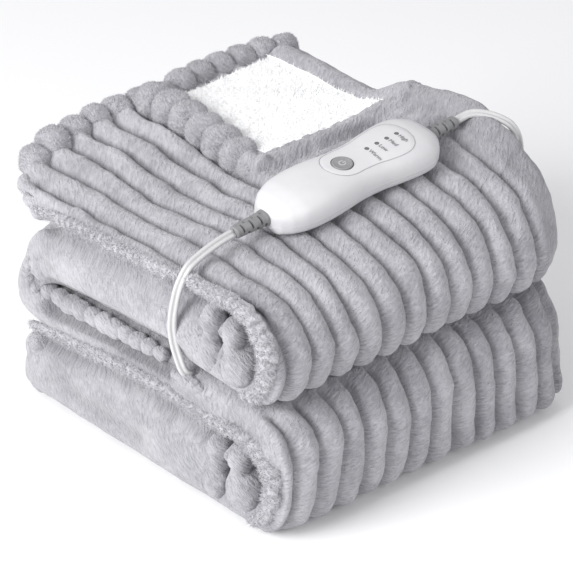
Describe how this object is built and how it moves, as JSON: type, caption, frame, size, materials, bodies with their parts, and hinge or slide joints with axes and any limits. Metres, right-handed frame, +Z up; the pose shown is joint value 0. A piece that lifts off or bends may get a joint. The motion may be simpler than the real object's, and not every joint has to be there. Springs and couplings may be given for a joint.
{
  "type": "electric heated blanket",
  "caption": "Folded ribbed plush heated blanket with a fleece underside, a hand controller on top and its power lead and plug.",
  "frame": {"origin": "on the blanket's flat underside, on the surface it rests on, at the middle of its length along Y and near the middle of its width along X", "axes": "+Z up, +X towards the rounded ribbed folds, -Y towards the folded end that shows the layers; the controller lies along Y"},
  "size_m": [0.2985, 0.3782, 0.211],
  "materials": {
    "plush": "soft cut pile, cool grey",
    "case": "satin white",
    "button": "matte grey",
    "lamp": "smoked lens",
    "relief": "matte grey",
    "lead": "satin white sheath",
    "tie": "matte grey",
    "plug": "satin white",
    "blade": "plated"
  },
  "bodies": {
    "blanket": {"blanket_cloth": "plush", "case_upper": "case", "case_lower": "case", "case_panel": "case", "lamp_1": "lamp", "lamp_2": "lamp", "lamp_3": "lamp", "lamp_4": "lamp", "strain_relief_near": "relief", "strain_relief_far": "relief", "blanket_lead": "lead", "mains_lead": "lead", "plug_tail": "lead", "mains_coil": "lead", "coil_tie": "tie", "plug_grip": "plug", "plug_blade_left": "blade", "plug_blade_right": "blade"},
    "button": {"power_button": "button"}
  },
  "joints": [
    {"name": "power_press", "type": "slide", "parent": "blanket", "child": "button", "axis": [-0.1185, 0.0701, -0.9905], "range_m": [0, 0.0008], "stiffness_N_per_m": 400, "springref_m": -0.0008}
  ]
}
